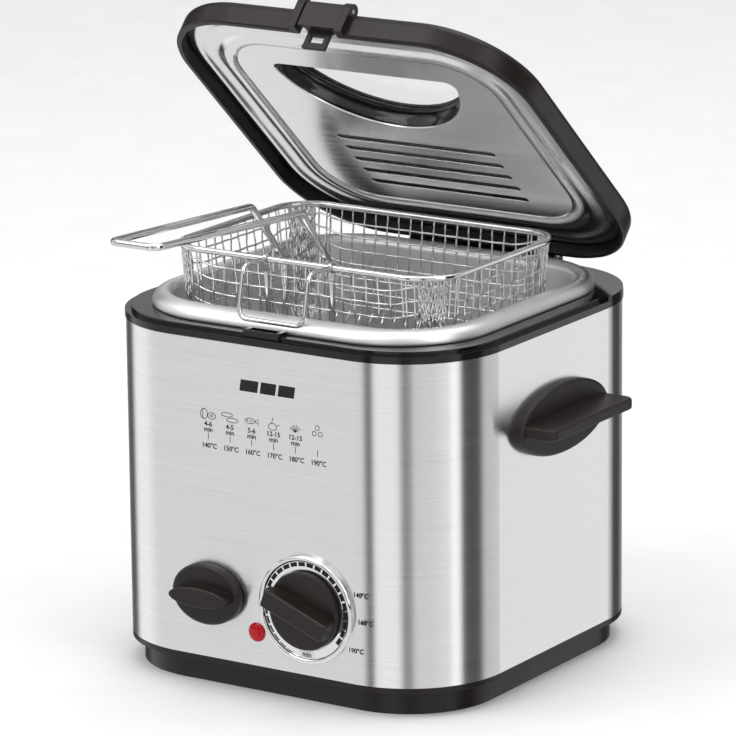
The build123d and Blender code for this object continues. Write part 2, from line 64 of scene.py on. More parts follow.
def noise(made, stretch, detail, roughness=0.55):
    """Noise in object space, its cells 1/stretch metres along each axis."""
    tree = made.node_tree
    place = tree.nodes.new("ShaderNodeTexCoord")
    scale = tree.nodes.new("ShaderNodeMapping")
    scale.inputs["Scale"].default_value = stretch
    texture = tree.nodes.new("ShaderNodeTexNoise")
    texture.inputs["Scale"].default_value = 1.0
    texture.inputs["Detail"].default_value = detail
    texture.inputs["Roughness"].default_value = roughness
    tree.links.new(place.outputs["Object"], scale.inputs["Vector"])
    tree.links.new(scale.outputs["Vector"], texture.inputs["Vector"])
    return texture.outputs["Fac"]


def vary(made, source, socket, low, high):
    """Drive a shader socket between two values or two colours by a noise."""
    tree = made.node_tree
    ramp = tree.nodes.new("ShaderNodeValToRGB")
    ramp.color_ramp.elements[0].position = 0.3
    ramp.color_ramp.elements[1].position = 0.7
    for element, value in zip(ramp.color_ramp.elements, (low, high)):
        element.color = (*value, 1.0) if isinstance(value, tuple) else (value, value, value, 1.0)
    tree.links.new(source, ramp.inputs["Fac"])
    tree.links.new(ramp.outputs["Color"], tree.nodes["Principled BSDF"].inputs[socket])


def relief(made, source, strength, depth, edge=0.0):
    """Bump from a noise, over edges softened by a small radius."""
    tree = made.node_tree
    bump = tree.nodes.new("ShaderNodeBump")
    bump.inputs["Strength"].default_value = strength
    bump.inputs["Distance"].default_value = depth
    tree.links.new(source, bump.inputs["Height"])
    if edge:
        bevel = tree.nodes.new("ShaderNodeBevel")
        bevel.samples = 4
        bevel.inputs["Radius"].default_value = edge
        tree.links.new(bevel.outputs["Normal"], bump.inputs["Normal"])
    tree.links.new(bump.outputs["Normal"], tree.nodes["Principled BSDF"].inputs["Normal"])


def brushed(name, stretch, colours, rough, stretch_round_z=False):
    """Brushed metal: long fine scratches that vary colour, gloss and relief."""
    made = shader(name, Metallic=1.0)
    if stretch_round_z:
        principled = made.node_tree.nodes["Principled BSDF"]
        principled.inputs["Anisotropic"].default_value = 0.85
        principled.inputs["Anisotropic Rotation"].default_value = 0.25
        tangent = made.node_tree.nodes.new("ShaderNodeTangent")
        tangent.direction_type = "RADIAL"
        tangent.axis = "Z"
        made.node_tree.links.new(tangent.outputs["Tangent"], principled.inputs["Tangent"])
    grain = noise(made, stretch, 5.0, 0.7)
    vary(made, grain, "Base Color", *colours)
    vary(made, grain, "Roughness", *rough)
    relief(made, grain, 0.07, mm(0.02))
    return made


def moulded(name, colours, rough, grain=900, strength=0.25, edge=0.0, **settings):
    """Moulded or cast surface with a fine even grain and slow blotches."""
    made = shader(name, **settings)
    slow = noise(made, (25, 25, 25), 2.0)
    fine = noise(made, (grain, grain, grain), 2.0)
    vary(made, slow, "Base Color", *colours)
    vary(made, slow, "Roughness", *rough)
    relief(made, fine, strength, mm(0.12), edge)
    return made


def grey(value, tint=0.0):
    return (value + tint, value, value - tint)


brown_black = ((0.013, 0.009, 0.008), (0.018, 0.013, 0.011))
lid_black = ((0.012, 0.008, 0.007), (0.016, 0.011, 0.0095))
base_black = ((0.011, 0.007, 0.009), (0.015, 0.010, 0.012))
deck_black = ((0.008, 0.006, 0.008), (0.012, 0.009, 0.012))
seal_black = ((0.007, 0.006, 0.009), (0.012, 0.01, 0.014))
off_white = ((0.72, 0.69, 0.6), (0.8, 0.77, 0.7))

looks = {
    "brushed_shell": brushed("shell brushed steel", (16, 16, 2400), (grey(0.77, 0.002), grey(0.87, 0.004)),
                             (0.22, 0.27), stretch_round_z=True),
    "pan_steel": brushed("pan satin steel", (6, 1100, 1100), (grey(0.82, 0.004), grey(0.9, 0.006)),
                         (0.14, 0.22)),
    "sheet_steel": brushed("zinc sheet", (40, 300, 300), (grey(0.45), grey(0.6)), (0.3, 0.45)),
    "black_plastic": moulded("black textured plastic", brown_black, (0.34, 0.44), strength=0.45,
                             edge=mm(0.35), Specular_IOR_Level=0.36),
    "gloss_black": moulded("gloss black plastic", deck_black, (0.09, 0.15), grain=500, strength=0.03,
                           edge=mm(0.4), Specular_IOR_Level=0.36),
    "pot_alloy": moulded("satin pot alloy", (grey(0.9), grey(0.96)), (0.36, 0.46), grain=700, strength=0.05,
                         Metallic=1.0),
    "chrome_wire": moulded("chromed wire", (grey(0.72), grey(0.82)), (0.03, 0.09), grain=300, strength=0.03,
                           Metallic=1.0),
    "chrome_ring": moulded("polished chrome", (grey(0.84), grey(0.9)), (0.05, 0.11), grain=120,
                           strength=0.02, Metallic=1.0),
    "screw_steel": moulded("zinc plated steel", (grey(0.5), grey(0.62, 0.02)), (0.25, 0.4), Metallic=1.0),
    "rubber": moulded("soft rubber", (grey(0.03), grey(0.045)), (0.6, 0.75), grain=600),
    "heater": moulded("heat tinted tube", (grey(0.25, 0.02), (0.4, 0.3, 0.22)), (0.35, 0.5), Metallic=1.0),
    "ceramic": moulded("off-white moulding", off_white, (0.5, 0.6), strength=0.1),
    "copper": moulded("copper tube", ((0.5, 0.24, 0.12), (0.68, 0.36, 0.2)), (0.25, 0.45), Metallic=1.0),
    "red_lens": moulded("red lens", ((0.42, 0.0, 0.006), (0.5, 0.0, 0.008)), (0.08, 0.14), grain=300,
                        strength=0.03, Specular_IOR_Level=0.4),
    "lamp_white": moulded("white moulding", (grey(0.7), grey(0.78)), (0.45, 0.55), strength=0.1),
    "glass": moulded("tempered glass", ((0.98, 0.995, 0.99), (0.99, 1.0, 1.0)), (0.01, 0.03), grain=60,
                     strength=0.01, Transmission_Weight=1.0, IOR=1.3),
    "gasket": moulded("glossy silicone", seal_black, (0.07, 0.13), grain=250, strength=0.03),
    "filter": moulded("dark net", (grey(0.1), grey(0.16)), (0.25, 0.35)),
}
lid_plastic = moulded("lid satin plastic", lid_black, (0.26, 0.34), grain=1300, strength=0.14, edge=mm(0.4),
                      Specular_IOR_Level=0.3)
base_plastic = moulded("base satin plastic", base_black, (0.24, 0.34), grain=1000, strength=0.12,
                       edge=mm(0.5), Specular_IOR_Level=0.32)
ink = moulded("printed ink", (grey(0.012), grey(0.02)), (0.5, 0.65), grain=2500, strength=0.1,
              Specular_IOR_Level=0.2)
pale_label = moulded("pale label", (grey(0.84), grey(0.9)), (0.3, 0.42), grain=900, strength=0.05)

for part in frame["record"]["subparts"]:
    look = looks[part["material_slot"]]
    if part["node"] == "lid_frame":
        look = lid_plastic
    if part["node"] == "base_tray":
        look = base_plastic
    mesh = nodes[part["node"]].data
    mesh.materials.clear()
    mesh.materials.append(look)


# ---------------------------------------------------------------- mesh helpers
def finish_piece(mesh_maker, name, look, body, smooth=True):
    """Turn a bmesh into a piece with one look, on a body and in a material slot."""
    mesh = bpy.data.meshes.new(name)
    mesh_maker.to_mesh(mesh)
    mesh_maker.free()
    piece = bpy.data.objects.new(name, mesh)
    bpy.context.scene.collection.objects.link(piece)
    mesh.materials.append(look)
    mesh.polygons.foreach_set("use_smooth", [smooth] * len(mesh.polygons))
    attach(piece, body)
    return piece


def rounded(width, depth, radius, y=0.0):
    """Points and outward directions round a rounded rectangle, anticlockwise, straight runs divided too."""
    steps, runs = 14, 10
    found = []
    for corner in range(4):
        sx, sy = ((1, -1), (1, 1), (-1, 1), (-1, -1))[corner]
        cx, cy = sx * (width / 2 - radius), y + sy * (depth / 2 - radius)
        for step in range(steps + 1):
            angle = math.radians(-90 + 90 * corner + 90 * step / steps)
            out = Vector((math.cos(angle), math.sin(angle)))
            found.append((Vector((cx, cy)) + out * radius, out))
        nx, ny = ((1, 1), (-1, 1), (-1, -1), (1, -1))[corner]
        end = Vector((nx * (width / 2 - radius), y + ny * (depth / 2 - radius))) + out * radius
        start = found[-1][0]
        for step in range(1, runs):
            found.append((start.lerp(end, step / runs), out))
    return found


def between(a, b, t):
    """Tuple part of the way from one tuple to another."""
    return tuple(p + (q - p) * t for p, q in zip(a, b))


def skin(rings, closed_profile=False, cap=False):
    """Quads between rings of equal length; the rings are closed loops."""
    made = bmesh.new()
    loops = [[made.verts.new(mm(1) * Vector(point)) for point in ring] for ring in rings]
    pairs = list(zip(loops[:-1], loops[1:]))
    if closed_profile:
        pairs.append((loops[-1], loops[0]))
    for low, high in pairs:
        for i in range(len(low)):
            j = (i + 1) % len(low)
            made.faces.new((low[i], low[j], high[j], high[i]))
    if cap:
        made.faces.new(loops[-1])
    bmesh.ops.recalc_face_normals(made, faces=made.faces)
    return made


def level_ring(outline, z, y):
    """Rounded rectangle (width, depth, corner radius) as points at one height."""
    return [(p.x, p.y, z) for p, _ in rounded(*outline, y=y)]


def curve_mesh(curve):
    """Bmesh of a filled curve or of lettering."""
    holder = bpy.data.objects.new("curve holder", curve)
    bpy.context.scene.collection.objects.link(holder)
    bpy.context.view_layer.update()
    shown = holder.evaluated_get(bpy.context.evaluated_depsgraph_get())
    mesh = bpy.data.meshes.new_from_object(shown)
    bpy.data.objects.remove(holder)
    made = bmesh.new()
    made.from_mesh(mesh)
    bpy.data.meshes.remove(mesh)
    return made


def tubes(paths, sides):
    """Round wires. Each path is (points in mm, radius in mm, closed)."""
    made = bmesh.new()
    for points, radius, closed in paths:
        points = [Vector(p) for p in points]
        count = len(points)
        turn = None
        rings = []
        for i, point in enumerate(points):
            ahead = points[(i + 1) % count] if closed or i < count - 1 else point
            behind = points[i - 1] if closed or i > 0 else point
            along = (ahead - behind).normalized()
            if turn is None:
                turn = along.orthogonal().normalized()
            turn = (turn - along * turn.dot(along)).normalized()
            side = along.cross(turn)
            ring = []
            for k in range(sides):
                angle = 2 * math.pi * k / sides
                offset = (turn * math.cos(angle) + side * math.sin(angle)) * radius
                ring.append(made.verts.new((point + offset) * mm(1)))
            rings.append(ring)
        last = count if closed else count - 1
        for i in range(last):
            a, b = rings[i], rings[(i + 1) % count]
            for k in range(sides):
                made.faces.new((a[k], a[(k + 1) % sides], b[(k + 1) % sides], b[k]))
        if not closed:
            made.faces.new(rings[0][::-1])
            made.faces.new(rings[-1])
    return made


def resample(points, step, closed=False):
    """Even spacing along a polyline, with the exact spacing as near the step as the length allows."""
    points = [Vector(p) for p in points]
    if closed:
        points = points + [points[0]]
    lengths = [0.0]
    for a, b in zip(points[:-1], points[1:]):
        lengths.append(lengths[-1] + (b - a).length)
    count = max(2, round(lengths[-1] / step))
    found = []
    at = 0
    for i in range(count if closed else count + 1):
        want = lengths[-1] * i / count
        while at < len(points) - 2 and lengths[at + 1] < want:
            at += 1
        span = max(lengths[at + 1] - lengths[at], 1e-9)
        found.append(points[at].lerp(points[at + 1], (want - lengths[at]) / span))
    return found


# ---------------------------------------------------------------- lid: pan, vents, window gasket
lid_joint = next(j for j in frame["joints"] if j["name"] == "lid_hinge")
hinge = Vector(lid_joint["pos_m"])
open_angle = math.radians(lid_joint["range_deg"][1])
swing = Matrix.Translation(hinge) @ Matrix.Rotation(-open_angle, 4, "X") @ Matrix.Translation(-hinge)

pan_outer = (199.6, 196.2, 45.0)
pan_flat = (152.0, 144.0, 28.0)
lid_y = -0.4
pan_face = 190.4
# Pressed steps of the pan: share of the way from the outer to the flat outline, and height.
pan_profile = [(0, 192.0), (0, 191.3), (0.05, 191.0), (0.11, 190.3), (0.18, 189.9), (0.24, 190.05),
               (0.3, 190.6), (0.36, 191.2), (0.43, 191.5), (0.52, 191.6), (0.62, 191.5), (0.68, 190.9),
               (0.73, 189.9), (0.79, 189.3), (0.85, 189.2), (0.92, 189.7), (1.0, pan_face)]


def open_piece(made):
    """Swing a bmesh drawn for the closed lid up with the open lid."""
    made.transform(swing)
    return made


pan_rings = [level_ring(between(pan_outer, pan_flat, t), z, lid_y) for t, z in pan_profile]
pan_edge = finish_piece(open_piece(skin(pan_rings)), "pan_pressed_edge", looks["pan_steel"], "lid")
thicken = pan_edge.modifiers.new("gauge", "SOLIDIFY")
thicken.thickness = mm(0.6)
thicken.offset = 0.0

window_radius, window_rise, window_corner = 54.16, 4.16, 5.0
fillet_x = 48.3
window_chord_y = -55.0
corner_steps, arc_steps, chord_steps = 8, 56, 24


def window_outline(grow):
    """Half-moon with rounded corners, its straight chord towards the lid's front."""
    meet = math.atan2(window_corner + window_rise, fillet_x)
    corner = window_corner + grow
    arcs = [((fillet_x, window_corner), corner, -math.pi / 2, meet, corner_steps),
            ((0.0, -window_rise), window_radius + grow, meet, math.pi - meet, arc_steps),
            ((-fillet_x, window_corner), corner, math.pi - meet, 1.5 * math.pi, corner_steps)]
    found = []
    for centre, radius, first, last, steps in arcs:
        for step in range(steps):
            angle = first + (last - first) * step / steps
            found.append((centre[0] + radius * math.cos(angle), centre[1] + radius * math.sin(angle)))
    for step in range(chord_steps):
        found.append((-fillet_x + 2 * fillet_x * step / chord_steps, -grow))
    return [(x, y + window_chord_y) for x, y in found]


slot_length, slot_height = 94.6, 4.0


def slot_outline(y):
    """Vent slot with rounded ends."""
    end_r = slot_height / 2
    found = []
    for side in (1, -1):
        for step in range(9):
            angle = math.radians(-90 + 180 * step / 8) + (0 if side > 0 else math.pi)
            found.append((side * (slot_length - slot_height) / 2 + end_r * math.cos(angle),
                          y + end_r * math.sin(angle)))
    return found


def plate_with_holes(outlines, z, half_gauge, edge):
    """Flat sheet between closed outlines, edges slightly rolled, as a bmesh in metres."""
    curve = bpy.data.curves.new("sheet outline", "CURVE")
    curve.dimensions = "2D"
    curve.fill_mode = "BOTH"
    curve.extrude = mm(half_gauge - edge)
    curve.bevel_depth = mm(edge)
    curve.bevel_resolution = 2
    curve.offset = -mm(edge)
    for outline in outlines:
        spline = curve.splines.new("POLY")
        spline.points.add(len(outline) - 1)
        for point, (x, y) in zip(spline.points, outline):
            point.co = (mm(x), mm(y), 0, 1)
        spline.use_cyclic_u = True
    made = curve_mesh(curve)
    bmesh.ops.remove_doubles(made, verts=made.verts, dist=mm(0.001))
    made.transform(Matrix.Translation((0, 0, mm(z))))
    return made


slot_rows = [12.6 + 10.8 * row for row in range(5)]
flat_outline = [(p.x, p.y) for p, _ in rounded(*pan_flat, y=lid_y)]
window_gap, sheet_z, sheet_half_gauge, sheet_edge = 0.25, pan_face + 0.4, 0.45, 0.2
sheet_outlines = [flat_outline, window_outline(window_gap)] + [slot_outline(y) for y in slot_rows]
pan_sheet = plate_with_holes(sheet_outlines, sheet_z, sheet_half_gauge, sheet_edge)
pan_centre = finish_piece(open_piece(pan_sheet), "pan_centre", looks["pan_steel"], "lid",
                          smooth=False)
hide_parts("lid_inner_panel")

net_threads = []
net_y = sum(slot_rows) / len(slot_rows)
net_half_x, net_half_y = 51.0, 25.0
net_slant, net_pitch, thread_radius = 0.6, 1.9, 0.42
shortest_thread = 1
for lean in (-1, 1):
    offset = -net_half_x - net_slant * net_half_y
    net_z = pan_face + 1.6 + 0.25 * lean
    while offset < net_half_x + net_slant * net_half_y:
        ends = []
        for y in (-net_half_y, net_half_y):
            x = max(-net_half_x, min(net_half_x, offset + lean * y * net_slant))
            ends.append((x, net_y + lean * (x - offset) / net_slant, net_z))
        if abs(ends[0][0] - ends[1][0]) > shortest_thread:
            net_threads.append((ends, thread_radius, False))
        offset += net_pitch
vent_net = finish_piece(open_piece(tubes(net_threads, 6)), "vent_net", looks["filter"], "lid")
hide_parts("vent_filter")

# Section of the seal: distance outside the window's outline, and height.
gasket_profile = [(0.1, 191.1), (0.5, 190.9), (2.2, 190.9), (2.6, 191.3), (2.6, 204.4), (2.1, 204.9),
                  (0.0, 204.9), (-1.2, 204.6), (-1.4, 204.0), (-1.4, 203.45), (1.1, 203.45), (1.1, 201.35),
                  (-1.4, 201.35), (-1.5, 200.6), (-1.1, 200.1), (-0.3, 199.9), (0.0, 199.5), (0.0, 195.0),
                  (0.0, 191.5)]
gasket_rings = [[(x, y, z) for x, y in window_outline(grow)] for grow, z in gasket_profile]
gasket_skin = open_piece(skin(gasket_rings, closed_profile=True))
gasket = finish_piece(gasket_skin, "window_gasket_ring", looks["gasket"], "lid")
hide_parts("window_gasket")

# ---------------------------------------------------------------- pot with rolled flange
flange, mouth, floor_outline = (188.3, 188.1, 50.0), (167.0, 159.4, 32.4), (158.0, 150.4, 28.0)
pot_y, pot_floor, floor_bend = -1.0, 83.0, 13.0
mouth_z = 186.6
wall_steps, bend_steps = 12, 8
# Rolled flange: share of the way from its outer outline to the mouth, and height.
flange_profile = [(0.015, 183.6), (0, 184.0), (0, 185.0), (0.03, 186.4), (0.09, 187.8), (0.18, 188.9),
                  (0.3, 189.8), (0.44, 190.4), (0.58, 190.6), (0.72, 190.4), (0.84, 189.8), (0.93, 188.9),
                  (0.985, 187.8), (1.0, mouth_z)]
pot_rings = [level_ring(between(flange, mouth, t), z, pot_y) for t, z in flange_profile]
wall_bottom = pot_floor + floor_bend
for step in range(1, wall_steps + 1):
    z = mouth_z + (wall_bottom - mouth_z) * step / wall_steps
    outline = between(mouth, floor_outline, (mouth_z - z) / (mouth_z - pot_floor))
    pot_rings.append(level_ring(outline, z, pot_y))
for step in range(1, bend_steps + 1):
    angle = math.radians(90 * step / bend_steps)
    inset = floor_bend * (1 - math.cos(angle))
    shrunk = (outline[0] - 2 * inset, outline[1] - 2 * inset, outline[2] - inset)
    pot_rings.append(level_ring(shrunk, wall_bottom - floor_bend * math.sin(angle), pot_y))
for scale, dip in ((0.8, 0.0), (0.76, 0.5), (0.4, 0.5), (0.05, 0.5)):
    pot_rings.append(level_ring([size * scale for size in shrunk], pot_floor + dip, pot_y))
pot_skin = skin(pot_rings, cap=True)
pot_skin.faces.ensure_lookup_table()
if pot_skin.faces[-1].normal.z < 0:
    bmesh.ops.reverse_faces(pot_skin, faces=pot_skin.faces)
pot = finish_piece(pot_skin, "pot_with_flange", looks["pot_alloy"], "housing")
gauge = pot.modifiers.new("gauge", "SOLIDIFY")
gauge.thickness = mm(1.2)
gauge.offset = -1.0
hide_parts("inner_pot")

# ---------------------------------------------------------------- woven frying basket
basket_w, basket_d, basket_r, basket_y = 160.0, 118.0, 20.0, -9.0
rim_z, basket_floor, basket_lean, bottom_bend = 212.5, 153.1, 5.0, 9.0
strand, pitch, weave = 0.46, 7.0, 0.32
pleat_edge, full_lift, lift_falloff = 7.5, 3.6, 110
gather_radius, gather_step = 0.42, 1.1


def basket_profile(reach):
    """(inset, z) down the wall, round the bottom bend and inwards along the floor to an inset."""
    found = []
    height = rim_z - basket_floor
    for step in range(13):
        z = rim_z - (height - bottom_bend) * step / 12
        found.append((basket_lean * (rim_z - z) / height, z))
    start = found[-1][0]
    for step in range(1, 8):
        angle = math.radians(90 * step / 7)
        inward, down = 1 - math.cos(angle), 1 - math.sin(angle)
        found.append((start + bottom_bend * inward, basket_floor + bottom_bend * down))
    found.append((reach, basket_floor))
    return found


def strand_over(across, place, phase):
    """One strand that goes down a wall, across the floor and up the opposite wall."""
    half = (basket_d if across == "y" else basket_w) / 2
    profile = basket_profile(half)
    track = [(inset - half, z) for inset, z in profile]
    track += [(half - inset, z) for inset, z in reversed(profile[:-1])]
    flat = resample([(u, z, 0) for u, z in track], pitch / 4)
    lifted = []
    for i, point in enumerate(flat):
        ahead, behind = flat[min(i + 1, len(flat) - 1)], flat[max(i - 1, 0)]
        along = (ahead - behind).normalized()
        out = Vector((along.y, -along.x, 0))
        lifted.append(point + out * weave * math.cos(math.pi * i / 4 + math.pi * phase))
    if across == "y":
        return [(place, basket_y + p.x, p.y) for p in lifted]
    return [(p.x, basket_y + place, p.y) for p in lifted]


def centred(count):
    """Places of evenly pitched strands about the middle."""
    return [(i - (count - 1) / 2) * pitch for i in range(count)]


strands = []
for i, x in enumerate(centred(18)):
    strands.append((strand_over("y", x, i), strand, False))
for i, y in enumerate(centred(12)):
    strands.append((strand_over("x", y, i + 1), strand, False))


def corner_lift(point):
    """How far a level strand is drawn up where the mesh is gathered at a corner."""
    gap_x = max(0.0, basket_w / 2 - basket_r + pleat_edge - abs(point.x))
    gap_y = max(0.0, basket_d / 2 - basket_r + pleat_edge - abs(point.y - basket_y))
    return full_lift * math.exp(-max(gap_x, gap_y) ** 2 / lift_falloff)


def level_strand(z, phase):
    """Closed strand round the basket, gathered at the corners."""
    inset = basket_lean * (rim_z - z) / (rim_z - basket_floor)
    outline = rounded(basket_w - 2 * inset, basket_d - 2 * inset, basket_r - inset, y=basket_y)
    ring = resample([(p.x, p.y, z) for p, _ in outline], pitch / 4, closed=True)
    found = []
    for i, point in enumerate(ring):
        ahead, behind = ring[(i + 1) % len(ring)], ring[i - 1]
        along = (ahead - behind).normalized()
        out = Vector((along.y, -along.x, 0))
        lift = corner_lift(point)
        ripple = 0.7 * math.sin(i * 2.3) if lift > full_lift - 0.05 else 0.0
        wave = weave * math.cos(math.pi * i / 4 + math.pi * phase)
        found.append(point + out * (wave + ripple) + Vector((0, 0, lift + ripple)))
    return found


level_rows = [rim_z - pitch * (row + 1) - 1.0 for row in range(7)]
for row, z in enumerate(level_rows):
    strands.append((level_strand(z, row), strand, True))
weave_piece = finish_piece(tubes(strands, 6), "basket_weave", looks["chrome_wire"], "basket")
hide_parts("basket_front_mesh", "basket_rear_mesh", "basket_left_mesh", "basket_right_mesh",
            "basket_floor_mesh")


def pleat_strand(sx, sy, angle, layer, crinkle=1.0):
    """Crinkled upright strand in the gathered mesh of a corner."""
    cx, cy = sx * (basket_w / 2 - basket_r), basket_y + sy * (basket_d / 2 - basket_r)
    out = Vector((sx * math.cos(angle), sy * math.sin(angle), 0))
    along = Vector((-out.y, out.x, 0))
    phase = random.uniform(0, 2 * math.pi)
    track = resample([(inset, z, 0) for inset, z in basket_profile(17.0)], gather_step)
    found = []
    for i, (inset, z, _) in enumerate(track):
        wiggle = crinkle * (math.sin(i * 0.95 + phase) * 0.38 + random.uniform(-0.08, 0.08))
        depth = crinkle * math.cos(i * 0.7 + phase * 2) * 0.35 - layer * 0.9
        centre = Vector((cx, cy, z))
        found.append(centre + out * (basket_r - inset + depth) + along * wiggle)
    return found


pleats = []
for sx in (-1, 1):
    for sy in (-1, 1):
        for layer, count in ((0, 14), (1, 12)):
            for i in range(count):
                angle = math.radians(23 + 44 * (i + 0.5) / count)
                pleats.append((pleat_strand(sx, sy, angle, layer), gather_radius, False))
        for degrees in (5, 18, 72, 85):
            pleats.append((pleat_strand(sx, sy, math.radians(degrees), 0, 0.12), strand, False))
pleat_piece = finish_piece(tubes(pleats, 5), "basket_corner_gathers", looks["chrome_wire"], "basket")
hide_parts("basket_corner_pleats")

# ---------------------------------------------------------------- printed marks on the front
front_y = -104.0
pen_radius = 0.17


def text_mesh(words, size, x, z, proud=0.05):
    """Flat lettering that faces the front, centred on a point, as a bmesh."""
    curve = bpy.data.curves.new("marking", "FONT")
    curve.body = words
    curve.size = mm(size)
    curve.align_x = "CENTER"
    curve.align_y = "CENTER"
    curve.extrude = mm(0.02)
    curve.offset = mm(0.07)
    made = curve_mesh(curve)
    place = Matrix.Translation((mm(x), mm(front_y - proud), mm(z)))
    made.transform(place @ Matrix.Rotation(math.pi / 2, 4, "X"))
    return made


def join(parts, name, look, body):
    """One piece from several bmeshes."""
    whole = bmesh.new()
    for part in parts:
        mesh = bpy.data.meshes.new("part")
        part.to_mesh(mesh)
        part.free()
        whole.from_mesh(mesh)
        bpy.data.meshes.remove(mesh)
    return finish_piece(whole, name, look, body, smooth=False)


def arc_block(centre, radii, angles, y_low, y_high, steps=4):
    """Raised block on a front-facing ring, between two radii and two clock angles in degrees."""
    made = bmesh.new()
    faces = {}
    for y in (y_low, y_high):
        rim = []
        for radius, order in ((radii[0], 1), (radii[1], -1)):
            for step in range(steps + 1)[::order]:
                clock = math.radians(angles[0] + (angles[1] - angles[0]) * step / steps)
                rim.append(made.verts.new((mm(centre[0] + radius * math.sin(clock)), mm(y),
                                           mm(centre[1] + radius * math.cos(clock)))))
        faces[y] = rim
        made.faces.new(rim)
    low, high = faces[y_low], faces[y_high]
    for i in range(len(low)):
        j = (i + 1) % len(low)
        made.faces.new((low[i], low[j], high[j], high[i]))
    bmesh.ops.recalc_face_normals(made, faces=made.faces)
    return made


def ring_points(x, z, rx, rz, first=0, last=360):
    """Points of an ellipse or a part of one on the front."""
    steps = 20
    found = []
    for step in range(steps + 1):
        angle = math.radians(first + (last - first) * step / steps)
        found.append((x + rx * math.cos(angle), front_y, z + rz * math.sin(angle)))
    return found


def pen(points):
    """Thin printed line along a list of points."""
    return (points, pen_radius, False)


def stroke(*corners):
    """Thin printed line through (x, z) corners on the front."""
    return pen([(x, front_y, z) for x, z in corners])


guide_columns = [-31.0 + 12.9 * i for i in range(6)]
icon_z, tick_z, tick_length = 140.0, 127.2, 3.4


def icons():
    """Plain line drawings for the food guide: slices, sticks, fish, drumstick, chips and rings."""
    lines = []
    z = icon_z
    x = guide_columns[0]
    lines += [pen(ring_points(x - 2.4, z, 2.1, 2.6)), pen(ring_points(x + 2.2, z - 0.6, 2.3, 1.7))]
    lines += [pen(ring_points(x - 2.4, z, 0.9, 2.6, 90, 270)), pen(ring_points(x + 2.2, z - 0.6, 0.8, 0.6))]
    x = guide_columns[1]
    lines += [pen(ring_points(x - 1.6, z + 1.2, 3.4, 1.0)), pen(ring_points(x + 1.6, z - 1.3, 3.4, 1.1))]
    x = guide_columns[2]
    lines.append(pen(ring_points(x - 0.8, z, 3.0, 1.3)))
    lines.append(stroke((x + 2.2, z), (x + 4, z + 1.3), (x + 4, z - 1.3), (x + 2.2, z)))
    lines += [pen(ring_points(x - 2.4, z + 0.2, 0.25, 0.25)), stroke((x - 1.2, z), (x + 1, z))]
    x = guide_columns[3]
    lines += [pen(ring_points(x - 0.4, z - 1.2, 2.5, 1.7)), stroke((x - 1.0, z + 0.6), (x, z + 3.4))]
    lines.append(stroke((x + 2.0, z - 0.6), (x + 3.6, z + 0.2)))
    x = guide_columns[4]
    for lean in (-60, -38, -15, 12, 35, 58):
        tilt = math.radians(lean)
        tip = (x + 3.6 * math.sin(tilt), z - 2.2 + 4.0 * math.cos(tilt))
        lines.append(stroke((x, z - 2.2), tip))
    x = guide_columns[5]
    for dx, dz in ((0, 1.8), (-1.8, -1.2), (1.8, -1.2)):
        lines.append(pen(ring_points(x + dx, z + dz, 1.15, 1.15)))
    for x in guide_columns:
        lines.append(stroke((x, tick_z), (x, tick_z + tick_length)))
    return lines


guide_size, dial_size = 3.5, 3.4
minutes_z, unit_z, degrees_z = 135.0, 132.2, 124.0
marks = [tubes(icons(), 5)]
for x, minutes in zip(guide_columns, ("4-6", "4-5", "5-6", "12-15", "12-15", "")):
    if minutes:
        marks.append(text_mesh(minutes, guide_size, x, minutes_z))
        marks.append(text_mesh("min", guide_size, x, unit_z))
for x, degrees in zip(guide_columns, range(140, 200, 10)):
    marks.append(text_mesh(f"{degrees}°C", guide_size, x + 0.5, degrees_z))
for degrees, x, z in ((140, 57.5, 60.6), (160, 60.0, 47.0), (190, 54.5, 32.0)):
    marks.append(text_mesh(f"{degrees}°C", dial_size, x, z))
bar_middle_z, bar_half_h, bar_slant = 157.5, 2.9, 0.9
bar_y = front_y - 0.05
for low, high in ((-12.0, -1.5), (0.0, 9.0), (10.5, 20.0)):
    bar = bmesh.new()
    corners = [(low, -bar_half_h), (high, -bar_half_h), (high + bar_slant, bar_half_h),
               (low + bar_slant, bar_half_h)]
    bar.faces.new([bar.verts.new((mm(x), mm(bar_y), mm(bar_middle_z + dz))) for x, dz in corners])
    marks.append(bar)
join(marks, "front_printing", ink, "housing")

# ---------------------------------------------------------------- dial scale
dial = (26.5, 49.0)
ring_face = front_y - 1.8
dashes = []
dash_count, first_clock, last_clock = 25, 198.0, 491.0
dash_outer_r, dash_share = 24.3, 0.8
clock_step = (last_clock - first_clock) / dash_count
for i in range(dash_count):
    thick = 0.3 + 1.8 * min(1.0, i / 9)
    start = first_clock + clock_step * i
    clocks = (start, start + clock_step * dash_share)
    dashes.append(arc_block(dial, (dash_outer_r - thick, dash_outer_r), clocks, ring_face - 0.06,
                            ring_face + 0.1))
join(dashes, "dial_scale_marks", ink, "housing")
label_radii, label_clocks = (20.9, 24.6), (168, 190)
label = arc_block(dial, label_radii, label_clocks, ring_face - 0.12, ring_face + 0.1, steps=8)
join([label], "dial_label", pale_label, "housing")
label_text = text_mesh("min", 3.7, dial[0] + 0.5, dial[1] - 22.7, proud=1.98)
join([label_text], "dial_label_text", ink, "housing")

